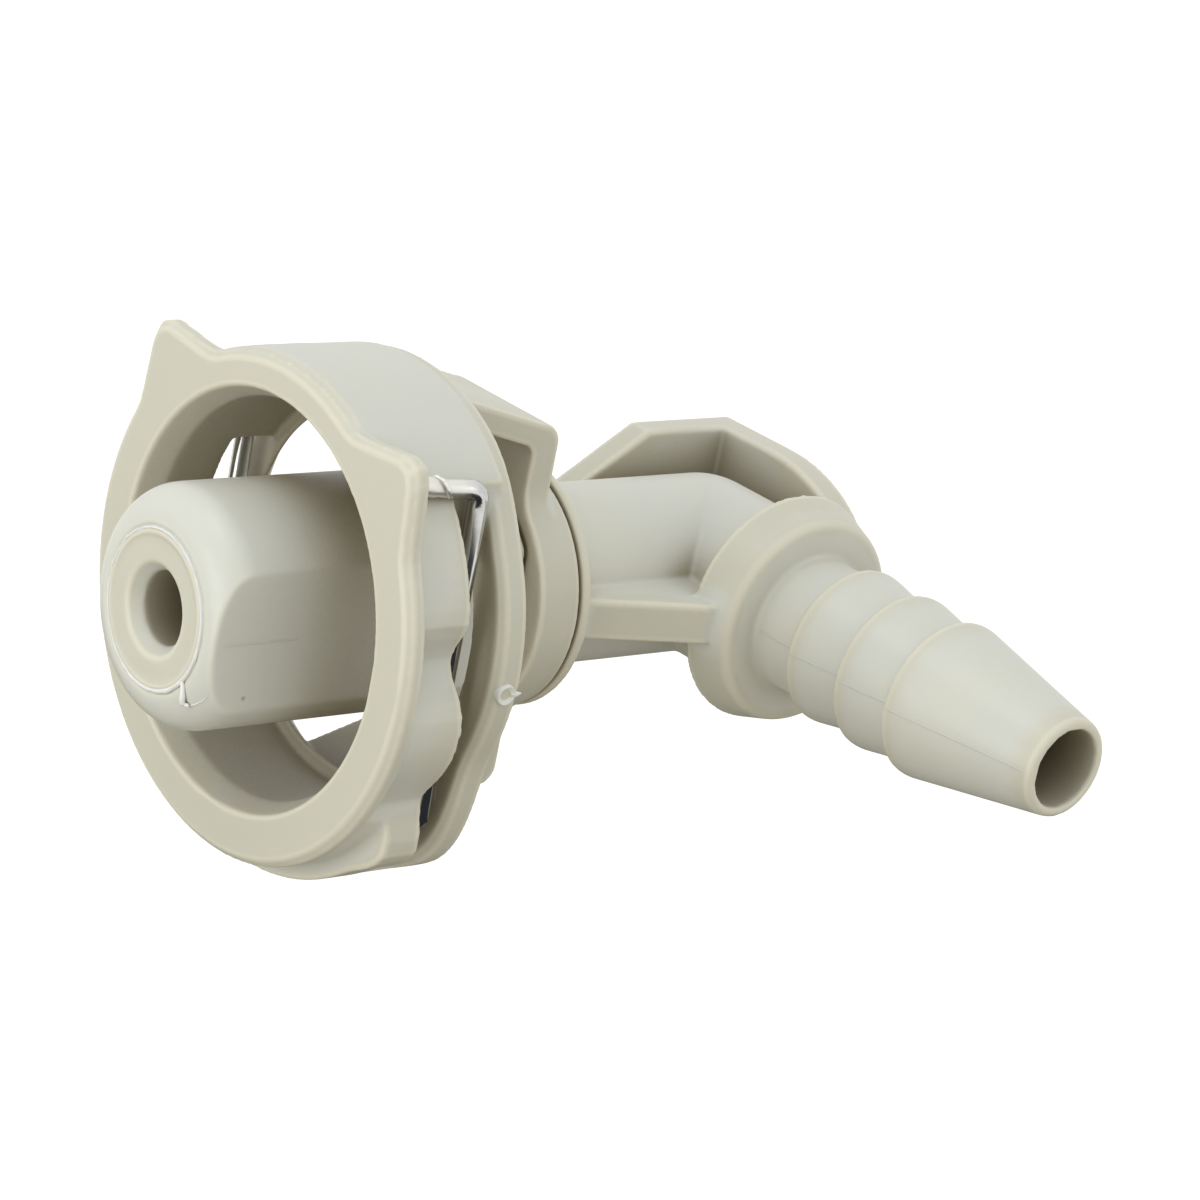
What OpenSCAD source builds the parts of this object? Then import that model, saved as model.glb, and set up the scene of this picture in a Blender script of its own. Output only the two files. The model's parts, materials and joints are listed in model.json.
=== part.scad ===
// Tank hose connector: an elbowed quick connector with a swivelling latch cage.
// The probe lies along X with its nose at -X, and the hose barb leaves along -Y.
// The origin is on the probe's axis, in the plane of the latch ring's front face.

/* [Probe] */
// Radius of the probe that plugs into the tank's valve
probe_r = 7.9; // [7:0.1:9]
// How far the nose stands in front of the latch ring
nose_reach = 6.85; // [4:0.05:12]
// Radius of the rounding round the nose
nose_round = 2.6; // [1:0.1:2.7]
// Distance from the axis to the keying flat on the barb's side of the probe
flat_dist = 6.4; // [6:0.1:6.8]
// Radius of the tube that runs through the probe and is welded flush at the nose
tube_r = 5.15; // [4.6:0.05:5.2]
// Radius of the outlet in the nose
nose_bore_r = 2.4; // [1.5:0.1:2.8]
// Width of the countersink round the outlet
nose_sink = 0.65; // [0.1:0.05:0.8]
// Depth of the countersink
nose_sink_depth = 0.9; // [0.3:0.1:2]
// Width of the raised weld bead on the nose
bead_w = 0.4; // [0.2:0.05:0.6]
// Height of the weld bead
bead_h = 0.15; // [0.05:0.05:0.3]
// Width of the weld bead's sloped sides
bead_side = 0.12; // [0.05:0.01:0.15]

/* [Elbow] */
// Radius of the pipe between the cage and the elbow
pipe_r = 6.15; // [5.6:0.05:6.5]
// Radius of the flow bore behind the nose
flow_r = 2.7; // [2:0.1:3.2]
// Radius of the shoulder behind the cage
shoulder_r = 8.6; // [7.8:0.1:9]
// Thickness of the shoulder's rim
shoulder_t = 0.7; // [0.5:0.1:1.5]
// Width of the bevel on the shoulder's front edge
shoulder_edge = 0.15; // [0.05:0.05:0.3]
// Length of the cone from the shoulder to the pipe
shoulder_cone = 0.9; // [0.4:0.1:2]
// Distance from the latch ring's front face to the barb's axis
elbow_x = 38.7; // [36:0.1:46]
// Thickness of the gusset in the elbow's inner corner
gusset_t = 2.8; // [1.6:0.1:4]
// Height of the gusset on the pipe where it starts behind the shoulder
gusset_low = 1.6; // [0.6:0.1:3]
// Height of the gusset on the pipe where it meets the barb's flange
gusset_high = 4.45; // [3:0.05:6]

/* [Push pad] */
// Thickness of the pad's two walls
pad_t = 2.2; // [1.4:0.1:3]
// Half-height of the pad
pad_h = 7.5; // [6.6:0.1:9]
// How deep the pad's walls are sunk into the pipe
pad_sink = 0.2; // [0.1:0.05:0.5]
// Length of the pad's side wall in front of the barb's axis
pad_reach = 7.7; // [5:0.1:10]
// Length of the pad's sloped shoulder
pad_slope = 6.6; // [3:0.1:8]
// Half-height of the pad's side wall at its front end
pad_front_h = 3.2; // [2:0.1:5]
// Distance before the pipe's axis at which the rear wall starts to round down
pad_turn = 1; // [0:0.1:4]
// Length over which the rear wall would round down to nothing
pad_round = 10.3; // [9.8:0.1:12]

/* [Barb] */
// Radius of the stop flange at its back face
stop_r = 8.2; // [7:0.1:9]
// Radius of the stop flange at its front rim
stop_front_r = 7.4; // [6.5:0.1:7.8]
// Distance from the probe's axis to the stop flange's back face
stop_y = 8.7; // [8:0.1:10]
// Thickness of the stop flange
stop_t = 3.1; // [2:0.1:4]
// Radius of the rounding on the stop flange's front rim
stop_round = 0.8; // [0.3:0.1:1.2]
// Radius of the barb's stem
stem_r = 4.75; // [4.2:0.05:5]
// Radius of the barb's crests
crest_r = 5.5; // [5.2:0.05:6]
// Number of short teeth behind the long cone
short_teeth = 2; // [1:1:3]
// Distance from the stop flange to the first crest
first_crest = 4.1; // [2:0.1:6]
// Distance from one crest to the next
crest_pitch = 4.7; // [3.5:0.1:6]
// Width of the flat land on each crest
crest_land = 0.5; // [0.4:0.05:0.8]
// Length of the step behind each crest
crest_step = 0.35; // [0.2:0.05:0.6]
// Length of the last, long cone
cone_len = 11; // [8:0.1:14]
// Radius of the barb's tip
tip_r = 3.4; // [3:0.05:3.8]
// Radius of the rounding round the tip's mouth
tip_round = 0.3; // [0.1:0.05:0.4]

/* [Latch cage] */
// Radius of the latch ring's bore
ring_bore_r = 13; // [12.6:0.05:13.2]
// Radius of the bore's wide mouth in the front face
mouth_r = 13.75; // [13.3:0.05:14]
// Depth of the mouth
mouth_depth = 1.8; // [1:0.1:2.2]
// Outer radius of the ring's front lip
lip_r = 17.1; // [16.5:0.1:18]
// Thickness of the front lip
lip_t = 1.4; // [1.2:0.1:2.6]
// Outer radius of the wall behind the lip
wall_r = 16.2; // [15.8:0.1:16.4]
// Distance from the front face to the wall's back edge
wall_back = 5.6; // [4.5:0.1:6]
// Width of the slot that the wire clip sits in
slot_w = 3.3; // [2.4:0.1:4]
// Thickness of the rear flange
flange_t = 2.1; // [1.6:0.1:3]
// Outer radius of the rear flange at the top
flange_r = 16; // [15.6:0.1:16.2]
// Outer radius of the rear flange at the sides
flange_side_r = 15.1; // [14.9:0.1:15.8]
// Radius of the flange's bore, against which the spigot stops
flange_bore_r = 12.1; // [11.8:0.1:12.4]
// How much the flange's bore widens to its back face
flange_flare = 1.8; // [1:0.1:2]
// Height above the ring at which the two ears would come to a point
ear_h = 3.9; // [2:0.1:5]
// Share of that height at which the ears are cut off blunt
ear_blunt = 0.87; // [0.7:0.01:1]
// Angle of the ears from the top
ear_at = 44.5; // [42:0.5:50]
// Half of the angle that an ear's foot covers
ear_foot = 17; // [12:1:22]
// Radius of the bottom lobe
lobe_r = 18.2; // [17:0.1:19]
// Distance from the front face to the front of the bottom lobe
lobe_front = 2.8; // [1.8:0.1:3.4]
// Angle from the top at which the lobe begins
lobe_at = 119; // [112:1:124]
// Depth of the finger notch in each side of the wall
notch_depth = 1.7; // [0.8:0.1:1.8]
// Angle of the finger notch from the top
notch_at = 85; // [80:1:92]
// Half of the angle that the notch covers
notch_half = 12; // [8:1:15]
// Half-width of the webs that join the ring to the flange between the wire's legs
web_half_w = 11.2; // [10:0.1:11.3]
// Outer radius of the bottom web, inside the wire's bow
web_r = 14.8; // [14.2:0.1:15.1]
// Half of the angle that the bottom bridge covers
bridge_half = 27; // [20:1:32]
// Thickness of the bottom bridge
bridge_t = 1.3; // [1:0.1:1.6]

/* [Cage arms and collar] */
// Half-width of each arm
arm_half_w = 5; // [4:0.1:6]
// Height of the arms' outer face above the axis at the flange
arm_root_h = 14.85; // [14.5:0.05:15.2]
// Height of the arms' outer face above the axis at their rear corner
arm_tip_h = 12.85; // [12:0.05:13.4]
// Thickness of the arms
arm_t = 1.8; // [1.5:0.1:2.1]
// Thickness of the rear wall that joins the arms to the collar
rear_wall_t = 2.1; // [1.8:0.1:2.1]
// Distance from the flange's back face to the arms' rear face
arm_len = 8.5; // [7:0.1:10]
// Radius of the arms' rear corner
arm_round = 1.5; // [0.5:0.1:1.6]
// Radius of the inner corner of each window beside an arm
window_round = 0.9; // [0.3:0.1:1.2]
// Radius of the hollow corner where an arm widens to the collar
arm_fillet = 3; // [1:0.1:4]
// Outer radius of the rear collar
collar_r = 8.75; // [8:0.05:9.2]
// Outer radius of the rear collar at its back edge
collar_back_r = 8.5; // [7.8:0.05:8.7]
// How far the collar stands behind the arms
collar_reach = 1.4; // [0.8:0.1:3]

/* [Cage outline] */
// Width of the soft front edges of the lip and the rear flange
rim_bevel = 0.5; // [0.2:0.1:0.8]
// How much lower the lip is between the ears than the wall is beside them
saddle = 0.2; // [0:0.1:0.6]
// Angle from the top at which the lip starts to rise beyond its saddle
rise_from = 30; // [24:1:36]
// Angle from the top at which the lip has its full radius
rise_to = 62; // [56:1:70]
// How hollow the ears' sides are
ear_power = 1.4; // [1:0.1:2]
// Angle over which the wall rises to the lobe
wall_ramp = 10; // [6:1:16]
// Angle before the lobe at which the flange starts to rise
flange_lead = 7; // [0:1:10]
// Angle over which the flange rises to the lobe
flange_ramp = 34; // [24:1:38]
// Height of the swell where the lobe begins
lobe_swell = 0.6; // [0:0.1:0.9]
// Half of the angle that the swell covers
swell_half = 12; // [8:1:16]
// Height of the swell beside the finger notch
notch_swell = 0.8; // [0:0.1:0.8]
// Half of the angle that the swell beside the notch covers
ridge_half = 19; // [12:1:20]

/* [Wire clip] */
// Diameter of the spring wire
wire_d = 1.4; // [1.1:0.05:1.6]
// Distance from the middle plane to each leg's axis
leg_y = 12.25; // [12.1:0.05:12.6]
// Height of the legs above the probe's axis
leg_top = 11.75; // [11.4:0.05:12.4]
// Gap between each bent wire end and the ear in front of it
wire_end_gap = 1.2; // [0.1:0.1:2.4]

/* [Fits] */
// Radial running clearance of the cage on the pipe
run_gap = 0.05; // [0.02:0.01:0.1]
// End float of the cage on each side of its collar
end_float = 0.2; // [0.1:0.05:0.4]
// Gap at the welded tube inside the probe
weld_gap = 0.02; // [0.01:0.01:0.05]
// Clearance between the wire and the cage
wire_gap = 0.1; // [0.05:0.05:0.2]

/* [Hidden] */
$fn = 96;

plastic = "#c9cabd";
sleeve_plastic = "#cfd0c4";
steel = "#b9bdc0";

eps = 0.01;
rim_step = 0.03;
outline_steps = 120;
flange_front = wall_back + slot_w;
flange_back = flange_front + flange_t;
arm_back = flange_back + arm_len;
collar_front = arm_back - rear_wall_t;
collar_back = arm_back + collar_reach;
sleeve_back = collar_front - end_float;
shoulder_x = collar_back + end_float;
collar_bore_r = pipe_r + run_gap;
wire_r = wire_d / 2;
wire_x = wall_back + slot_w / 2;
wire_end = wire_x - lip_t - wire_end_gap;
bow_r = lobe_r - bridge_t - wire_gap - wire_r;
leg_bottom = -sqrt(bow_r * bow_r - leg_y * leg_y);
wall_front = lip_t - rim_bevel;
pad_in = pipe_r - pad_sink;
stop_front = stop_y + stop_t;
last_crest = stop_front + first_crest + short_teeth * crest_pitch;
tip_y = last_crest + crest_land + cone_len;

// 0 below the first angle, 1 above the second, with a smooth run between
function ease(a, from, to) = let (t = max(0, min(1, (a - from) / (to - from)))) t * t * (3 - 2 * t);
// 1 at the middle and 0 at a half-width away, with a peak that gets sharper with the power
function bump(a, mid, half, power) = pow(max(0, 1 - abs(a - mid) / half), power);
// 1 at the middle and 0 at a half-width away, as a smooth hollow
function hollow(a, mid, half) = abs(a - mid) < half ? pow(cos(90 * (a - mid) / half), 2) : 0;

// Each outline gives a radius for an angle from the top, alike on both sides
function lip_at(a) = wall_r - saddle + (lip_r - wall_r + saddle) * ease(a, rise_from, rise_to)
    + ear_h * min(ear_blunt, bump(a, ear_at, ear_foot, ear_power));
function wall_at(a) = wall_r + (lobe_r - wall_r) * ease(a, lobe_at, lobe_at + wall_ramp)
    + lobe_swell * hollow(a, lobe_at + swell_half, swell_half)
    + notch_swell * hollow(a, notch_at + ridge_half, ridge_half)
    - notch_depth * hollow(a, notch_at, notch_half);
function flange_at(a) = flange_r + (flange_side_r - flange_r) * ease(a, rise_from, rise_to)
    + (lobe_r - flange_side_r) * ease(a, lobe_at - flange_lead, lobe_at - flange_lead + flange_ramp);

// Draws along X what is drawn flat, with the drawing's X on Y and its Y on Z
module along_x(from, to) {
    translate([from, 0, 0]) rotate([90, 0, 90]) linear_extrude(to - from) children();
}

// Turns round X what is drawn flat, with the drawing's X as the radius and its Y along +X
module round_x() {
    rotate([0, 90, 0]) rotate_extrude() children();
}

// Turns round the barb's axis, with the drawing's Y as the distance along the barb
module round_barb() {
    translate([elbow_x, 0, 0]) rotate([90, 0, 0]) rotate_extrude() children();
}

// A closed outline whose radius depends on the angle from the top
module ring_outline(kind) {
    step = 360 / outline_steps;
    polygon([for (i = [0 : outline_steps - 1])
        let (a = i * step, b = a > 180 ? 360 - a : a,
             r = kind == "lip" ? lip_at(b) : kind == "wall" ? wall_at(b) : flange_at(b))
        [r * sin(a), r * cos(a)]]);
}

// A wedge from the axis outwards, on both sides of an angle from the top
module wedge(mid, half, reach) {
    far = reach / cos(half / 2);
    polygon([[0, 0], for (k = [-1 : 0.5 : 1]) far * [sin(mid + k * half), cos(mid + k * half)]]);
}

// Fused tube, shoulder, pipe, elbow, push pad and hose barb
module elbow_body() {
    color(plastic) difference() {
        union() {
            probe_tube();
            pipe();
            gusset();
            push_pad();
            barb();
        }
        flow_path();
    }
}

// Tube through the probe, flush with the nose, with the bead that its weld leaves
module probe_tube() {
    along_x(-nose_reach, sleeve_back + eps) circle(tube_r);
    round_x() polygon([[tube_r - bead_w, eps - nose_reach],
        [tube_r - bead_w + bead_side, -nose_reach - bead_h],
        [tube_r - bead_side, -nose_reach - bead_h], [tube_r, eps - nose_reach]]);
}

// Journal for the cage's collar, the shoulder behind it and the pipe to the elbow
module pipe() {
    cone_x = shoulder_x + shoulder_t;
    round_x() polygon([[0, sleeve_back], [pipe_r, sleeve_back], [pipe_r, shoulder_x],
        [shoulder_r - shoulder_edge, shoulder_x], [shoulder_r, shoulder_x + shoulder_edge],
        [shoulder_r, cone_x], [pipe_r, cone_x + shoulder_cone], [pipe_r, elbow_x], [0, elbow_x]]);
    translate([elbow_x, 0, 0]) sphere(pipe_r);
    round_barb() square([pipe_r, stop_y + eps]);
}

// Flat rib in the inner corner, wider towards the barb's flange
module gusset() {
    start = shoulder_x + shoulder_t;
    translate([0, 0, -gusset_t / 2]) linear_extrude(gusset_t)
        polygon([[start, 0], [start, -pipe_r - gusset_low],
            [elbow_x - stop_r, -pipe_r - gusset_high], [elbow_x, -pipe_r - gusset_high],
            [elbow_x, 0]]);
}

// Two walls on the outer side of the elbow that meet at a corner
module push_pad() {
    front = elbow_x - pad_reach;
    back = elbow_x + pad_in + pad_t;
    // Side wall, on the side away from the barb
    translate([0, pad_in + pad_t, 0]) rotate([90, 0, 0]) linear_extrude(pad_t)
        polygon([for (s = [1, -1]) each s == 1
            ? [[front, pad_front_h], [front + pad_slope, pad_h], [back, pad_h]]
            : [[back, -pad_h], [front + pad_slope, -pad_h], [front, -pad_front_h]]]);
    // Rear wall, rounded down to the barb's flange
    along_x(back - pad_t, back) intersection() {
        translate([-stop_y - eps, -pad_h]) square([pad_in + pad_t + stop_y + eps, 2 * pad_h]);
        union() {
            translate([pad_turn, -pad_h]) square([pad_in + pad_t - pad_turn, 2 * pad_h]);
            translate([pad_turn, 0]) rounded_end(pad_round, pad_h);
        }
    }
}

// Half of an ellipse, as a polygon
module rounded_end(long, high) {
    polygon([for (a = [90 : 5 : 270]) [long * cos(a), high * sin(a)]]);
}

// Stop flange, stem and teeth
module barb() {
    round_barb() polygon(concat(
        [[0, stop_y], [stop_r, stop_y]],
        corner(stop_front_r - stop_round, stop_front - stop_round, stop_round, [15 : 15 : 90]),
        [[stem_r, stop_front]],
        [for (i = [0 : short_teeth]) each tooth(i)],
        corner(tip_r - tip_round, tip_y - tip_round, tip_round, [0 : 30 : 90]),
        [[0, tip_y]]));
}

// One tooth: a step up from the stem and the crest's land
function tooth(i) = let (y = stop_front + first_crest + i * crest_pitch)
    [[stem_r, y - crest_step], [crest_r, y], [crest_r, y + crest_land]];

// Outlet in the nose, the straight bore and the bore up the barb
module flow_path() {
    throat = nose_reach - nose_sink_depth;
    round_x() polygon([[0, -nose_reach - 1], [nose_bore_r + nose_sink, -nose_reach - 1],
        [nose_bore_r + nose_sink, -nose_reach], [nose_bore_r, -throat], [nose_bore_r, 0], [0, 0]]);
    along_x(-eps, elbow_x) circle(flow_r);
    translate([elbow_x, 0, 0]) sphere(flow_r);
    round_barb() square([flow_r, tip_y + 1]);
}

// Outer sleeve of the probe, welded to the tube, with its rounded nose and keying flat
module probe_sleeve() {
    color(sleeve_plastic) difference() {
        round_x() polygon(concat(
            [[tube_r + weld_gap, sleeve_back], [tube_r + weld_gap, -nose_reach]],
            corner(probe_r - nose_round, nose_round - nose_reach, nose_round, [-90 : 7.5 : 0]),
            [[probe_r, sleeve_back]]));
        translate([-nose_reach - 1, -flat_dist - probe_r, -probe_r])
            cube([nose_reach + sleeve_back + 2, probe_r, 2 * probe_r]);
    }
}

// Latch ring, web, flange, arms and collar in one moulding
module latch_cage() {
    color(plastic) {
        difference() {
            union() {
                edged_ring("lip", 0, lip_t, lip_r);
                along_x(wall_front, lobe_front + eps) intersection() {
                    ring_outline("wall");
                    circle(lip_r - rim_step);
                }
                along_x(lobe_front, wall_back) ring_outline("wall");
                webs();
                edged_ring("flange", flange_front, flange_back, flange_r);
            }
            cage_bore();
        }
        bottom_bridge();
        arms();
        collar();
    }
}

// Webs at the top and the bottom, between the wire's two legs
module webs() {
    along_x(lobe_front, flange_front + flange_t / 2) intersection() {
        union() {
            ring_outline("wall");
            circle(web_r);
        }
        union() {
            translate([-web_half_w, 0]) square([2 * web_half_w, lobe_r + 1]);
            intersection() {
                translate([-web_half_w, -web_r - 1]) square([2 * web_half_w, web_r + 1]);
                circle(web_r);
            }
        }
    }
}

// Bridge at the bottom, outside the wire's bow
module bottom_bridge() {
    along_x(wall_back - flange_t / 2, flange_front + flange_t / 2) difference() {
        intersection() {
            ring_outline("wall");
            wedge(180, bridge_half, lobe_r + 1);
        }
        circle(lobe_r - bridge_t);
    }
}

// A ring with a bevelled front edge. The bevel ends just inside the straight stretch.
module edged_ring(kind, from, to, radius) {
    small = 1 - rim_bevel / radius;
    nearly = 1 - rim_step / radius;
    translate([from, 0, 0]) rotate([90, 0, 90])
        linear_extrude(rim_bevel, scale = nearly / small) scale(small) ring_outline(kind);
    along_x(from + rim_bevel - 2 * rim_step, to) ring_outline(kind);
}

// Mouth and bore of the ring, as one turned cut that also opens the flange
module cage_bore() {
    round_x() polygon([[0, -1], [mouth_r, -1], [mouth_r, 0], [ring_bore_r, mouth_depth],
        [ring_bore_r, flange_front], [flange_bore_r, flange_front],
        [flange_bore_r, flange_front + rim_bevel / 2], [flange_bore_r + flange_flare, flange_back],
        [flange_bore_r + flange_flare, flange_back + 1], [0, flange_back + 1]]);
}

// Two flat arms that lean inwards to the collar
module arms() {
    slope = (arm_root_h - arm_tip_h) / (arm_len - arm_round);
    root = flange_back - rim_bevel;
    lean = slope * rim_bevel;
    inner_x = collar_front - window_round;
    inner_h = arm_root_h - arm_t - slope * (inner_x - flange_back);
    side = concat(
        [[root, arm_root_h + lean]],
        corner(arm_back - arm_round, arm_tip_h - arm_round, arm_round, [90 : -15 : 0]),
        [[arm_back, 0], [collar_front, 0]],
        corner(inner_x, inner_h - window_round, window_round, [0 : 15 : 90]),
        [[root, arm_root_h - arm_t + lean]]);
    intersection() {
        for (turn = [0, 180])
            rotate([90 + turn, 0, 0]) linear_extrude(2 * collar_r, center = true) polygon(side);
        along_x(root, arm_back + 1) difference() {
            arm_outline();
            circle(collar_r - rim_bevel);
        }
    }
}

// Both arms seen along the axis, which widen to the collar in round corners
module arm_outline() {
    offset(-arm_fillet) offset(arm_fillet) {
        square([2 * arm_half_w, 2 * arm_root_h + 2], center = true);
        circle(collar_r - eps);
    }
}

// Points of a rounded corner about a centre
function corner(x, y, r, angles) = [for (a = angles) [x + r * cos(a), y + r * sin(a)]];

// Collar that turns on the pipe's journal
module collar() {
    round_x() polygon([[collar_bore_r, collar_front], [collar_r, collar_front], [collar_r, arm_back],
        [collar_back_r, collar_back], [collar_bore_r, collar_back]]);
}

// One round wire bent to a U, with its two ends turned forward beside the ears
module wire_clip() {
    color(steel) {
        for (s = [1, -1]) {
            leg(s);
            translate([wire_x, s * leg_y, leg_top]) rotate([0, -90, 0]) cylinder(h = wire_end, r = wire_r);
            translate([wire_x, s * leg_y, leg_top]) sphere(wire_r + eps);
            translate([wire_x, s * leg_y, leg_bottom]) sphere(wire_r + eps);
        }
        wire_bow();
    }
}

// Straight leg from the bow up to the bent end
module leg(s) {
    translate([wire_x, s * leg_y, leg_bottom]) cylinder(h = leg_top - leg_bottom, r = wire_r);
}

// Curved stretch round the bottom of the ring
module wire_bow() {
    half = atan2(leg_y, -leg_bottom);
    translate([wire_x, 0, 0]) rotate([0, 90, 0]) rotate([0, 0, -half])
        rotate_extrude(angle = 2 * half) translate([bow_r, 0]) circle(wire_r, $fn = 32);
}

elbow_body();
probe_sleeve();
latch_cage();
wire_clip();
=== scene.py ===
# %% [markdown]
# # Tank hose connector
# This elbowed connector plugs a hose into the outlet of a water tank. It is moulded in a warm grey
# plastic, with one bent spring wire in a slot. The construction comes packed as a fixed frame, and
# this script gives it its looks: soft moulded edges, seams, flash, the polished wire and the light.

# %% Load the frame
import json
import math
import bpy
import bmesh
import numpy as np
from mathutils import Matrix, Quaternion, Vector, noise
from mathutils.bvhtree import BVHTree

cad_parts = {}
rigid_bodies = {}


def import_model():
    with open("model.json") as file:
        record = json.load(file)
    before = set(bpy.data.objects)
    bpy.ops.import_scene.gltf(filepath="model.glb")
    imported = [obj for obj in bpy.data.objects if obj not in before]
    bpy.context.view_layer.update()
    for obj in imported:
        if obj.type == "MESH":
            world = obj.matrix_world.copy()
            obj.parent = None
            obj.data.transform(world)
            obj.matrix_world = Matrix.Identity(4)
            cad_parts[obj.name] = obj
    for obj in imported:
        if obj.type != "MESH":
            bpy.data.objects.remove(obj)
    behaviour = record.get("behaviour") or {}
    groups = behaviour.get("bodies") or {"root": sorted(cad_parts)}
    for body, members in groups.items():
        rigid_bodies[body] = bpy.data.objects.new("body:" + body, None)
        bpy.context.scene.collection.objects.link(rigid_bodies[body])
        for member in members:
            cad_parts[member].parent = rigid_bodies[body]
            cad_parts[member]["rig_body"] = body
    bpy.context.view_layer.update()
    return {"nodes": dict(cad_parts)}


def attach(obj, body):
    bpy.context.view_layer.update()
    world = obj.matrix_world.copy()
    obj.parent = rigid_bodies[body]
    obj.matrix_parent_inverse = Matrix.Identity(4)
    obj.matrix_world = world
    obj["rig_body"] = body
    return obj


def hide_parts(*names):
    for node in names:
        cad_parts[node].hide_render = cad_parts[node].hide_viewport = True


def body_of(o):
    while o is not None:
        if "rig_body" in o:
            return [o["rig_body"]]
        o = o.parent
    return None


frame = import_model()
MM = 0.001
print("nodes:", sorted(frame["nodes"]))

# %% [markdown]
# ## The camera
# A long lens stands a quarter of a metre away, in front of the probe and above it, and it is rolled
# a little, so that the probe's axis runs down to the left. The aim is a point inside the pipe.

# %% Camera
AIM = Vector((22.2, -8.8, 1.8)) * MM
TOWARDS = Vector((0.64675, 0.68972, -0.32557)).normalized()
DISTANCE = 255 * MM
ROLL = math.radians(11.42)
LENS = 116.65
SENSOR = 36
NEAREST = 10 * MM
camera = bpy.data.objects.new("camera", bpy.data.cameras.new("camera"))
camera.data.lens = LENS
camera.data.sensor_width = SENSOR
camera.data.clip_start = NEAREST
camera.location = AIM - TOWARDS * DISTANCE
camera.rotation_mode = "QUATERNION"
camera.rotation_quaternion = TOWARDS.to_track_quat("-Z", "Y") @ Quaternion((0, 0, 1), ROLL)
bpy.context.scene.collection.objects.link(camera)
bpy.context.scene.camera = camera
bpy.context.scene.view_settings.view_transform = "Standard"
print("camera at", [round(v / MM, 1) for v in camera.location], "mm")

# %% [markdown]
# ## The studio
# Small white-tent photographs have light from every side, a little more of it from above, and a
# background that is plain white. The world gives the light from all sides. Light Path tells which
# rays come straight from the eye or off something shiny. Only those see a white world, so the
# light on the plastic stays at its own level.

# %% World
TENT_LIGHT = (0.93, 0.965, 1.0, 1)
TENT_STRENGTH = 0.95


def seen_directly(nodes, links):
    """A mask that is 1 for rays from the eye, off a glossy surface or through a clear one."""
    path = nodes.new("ShaderNodeLightPath")
    gloss = nodes.new("ShaderNodeMath")
    gloss.operation = "MAXIMUM"
    links.new(path.outputs["Is Camera Ray"], gloss.inputs[0])
    links.new(path.outputs["Is Glossy Ray"], gloss.inputs[1])
    clear = nodes.new("ShaderNodeMath")
    clear.operation = "MAXIMUM"
    links.new(gloss.outputs[0], clear.inputs[0])
    links.new(path.outputs["Is Transmission Ray"], clear.inputs[1])
    return clear.outputs[0]


world = bpy.data.worlds.new("white tent")
world.use_nodes = True
bpy.context.scene.world = world
nodes, links = world.node_tree.nodes, world.node_tree.links
nodes.clear()
tent = nodes.new("ShaderNodeBackground")
tent.inputs["Color"].default_value = TENT_LIGHT
tent.inputs["Strength"].default_value = TENT_STRENGTH
backdrop = nodes.new("ShaderNodeBackground")
backdrop.inputs["Color"].default_value = (1, 1, 1, 1)
backdrop.inputs["Strength"].default_value = 1
either = nodes.new("ShaderNodeMixShader")
world_out = nodes.new("ShaderNodeOutputWorld")
links.new(seen_directly(nodes, links), either.inputs["Fac"])
links.new(tent.outputs[0], either.inputs[1])
links.new(backdrop.outputs[0], either.inputs[2])
links.new(either.outputs[0], world_out.inputs["Surface"])
print("tent strength", TENT_STRENGTH)

# %% Lamps
LAMPS = {
    "nose light": ((-230, -20, 20), 160, 0.23),
    "right light": ((60, -230, 120), 140, 0.04),
    "top light": ((-70, 30, 230), 70, 0.06),
}


def soft_lamp(name, place, size, power):
    """A square lamp that looks at the middle of the object."""
    lamp = bpy.data.lights.new(name, "AREA")
    lamp.size = size * MM
    lamp.energy = power
    lamp.color = TENT_LIGHT[:3]
    holder = bpy.data.objects.new(name, lamp)
    holder.location = Vector(place) * MM
    holder.rotation_mode = "QUATERNION"
    holder.rotation_quaternion = (AIM - holder.location).to_track_quat("-Z", "Y")
    bpy.context.scene.collection.objects.link(holder)
    return holder


for name, (place, size, power) in LAMPS.items():
    soft_lamp(name, place, size, power)
print(len(LAMPS), "lamps")

# %% [markdown]
# ## The floor and the dark card
# The connector is held by its probe in the open air, so the floor lies well below it. White paper
# keeps the soft shadow, and a little glow that only direct rays see lifts it to the white of the
# world. A polished wire in an all-white tent would look like plastic. Photographers hold a dark
# card where the metal mirrors it, which gives the dark bands. This card only shows in reflections.

# %% Floor
FLOOR_Z = -55
FLOOR_HALF = 2000
sheet = bmesh.new()
bmesh.ops.create_grid(sheet, x_segments=8, y_segments=8, size=FLOOR_HALF * MM)
bmesh.ops.translate(sheet, verts=sheet.verts, vec=(0, 0, FLOOR_Z * MM))
floor_mesh = bpy.data.meshes.new("floor")
sheet.to_mesh(floor_mesh)
sheet.free()
floor = bpy.data.objects.new("floor", floor_mesh)
bpy.context.scene.collection.objects.link(floor)
print("floor", FLOOR_Z, "mm from the axis")

# %% White paper
PAPER_TONE = (0.50, 0.47, 0.41)
PAPER_ROUGHNESS = 0.9
FLOOR_GLOW = 0.64
paper = bpy.data.materials.new("white paper")
paper.use_nodes = True
nodes, links = paper.node_tree.nodes, paper.node_tree.links
pale = nodes["Principled BSDF"]
pale.inputs["Base Color"].default_value = (*PAPER_TONE, 1)
pale.inputs["Roughness"].default_value = PAPER_ROUGHNESS
glow = nodes.new("ShaderNodeEmission")
level = nodes.new("ShaderNodeMath")
level.operation = "MULTIPLY"
level.inputs[1].default_value = FLOOR_GLOW
both = nodes.new("ShaderNodeAddShader")
links.new(seen_directly(nodes, links), level.inputs[0])
links.new(level.outputs[0], glow.inputs["Strength"])
links.new(pale.outputs[0], both.inputs[0])
links.new(glow.outputs[0], both.inputs[1])
links.new(both.outputs[0], nodes["Material Output"].inputs["Surface"])
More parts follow.
